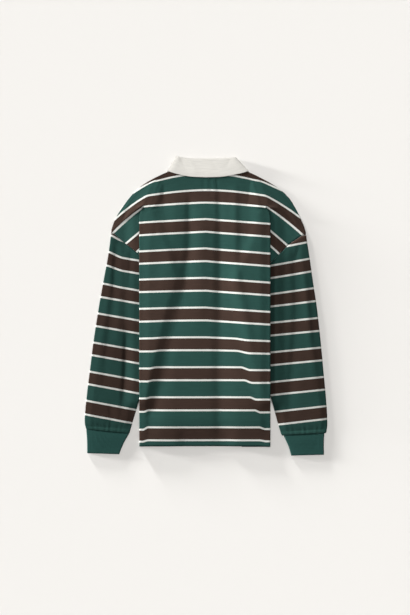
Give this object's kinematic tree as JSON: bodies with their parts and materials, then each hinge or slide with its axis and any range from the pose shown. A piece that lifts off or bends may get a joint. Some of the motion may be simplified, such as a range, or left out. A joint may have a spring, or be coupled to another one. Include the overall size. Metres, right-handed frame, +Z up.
{
  "type": "polo sweatshirt",
  "caption": "Loose long-sleeved polo sweatshirt with cross stripes, turned-down collar and knitted cuffs, lying flat on its front with its back up and its sleeves folded down beside it.",
  "frame": {"origin": "on the surface that the garment lies on, under the middle of its bounding box", "axes": "+Y towards the collar, +X to the right seen from above, +Z up, away from the surface; the garment's back faces +Z"},
  "size_m": [0.6056, 0.7473, 0.0165],
  "materials": {
    "striped_jersey": "matte",
    "green_rib": "matte",
    "off_white_twill": "matte",
    "off_white_button": "satin"
  },
  "bodies": {
    "root": {"back": "striped_jersey", "front": "striped_jersey", "sleeve_left": "striped_jersey", "sleeve_right": "striped_jersey", "cuff_left": "green_rib", "cuff_right": "green_rib", "collar": "off_white_twill", "placket_upper": "off_white_twill", "placket_under": "off_white_twill", "button_1": "off_white_button", "button_2": "off_white_button", "button_3": "off_white_button"}
  },
  "joints": []
}
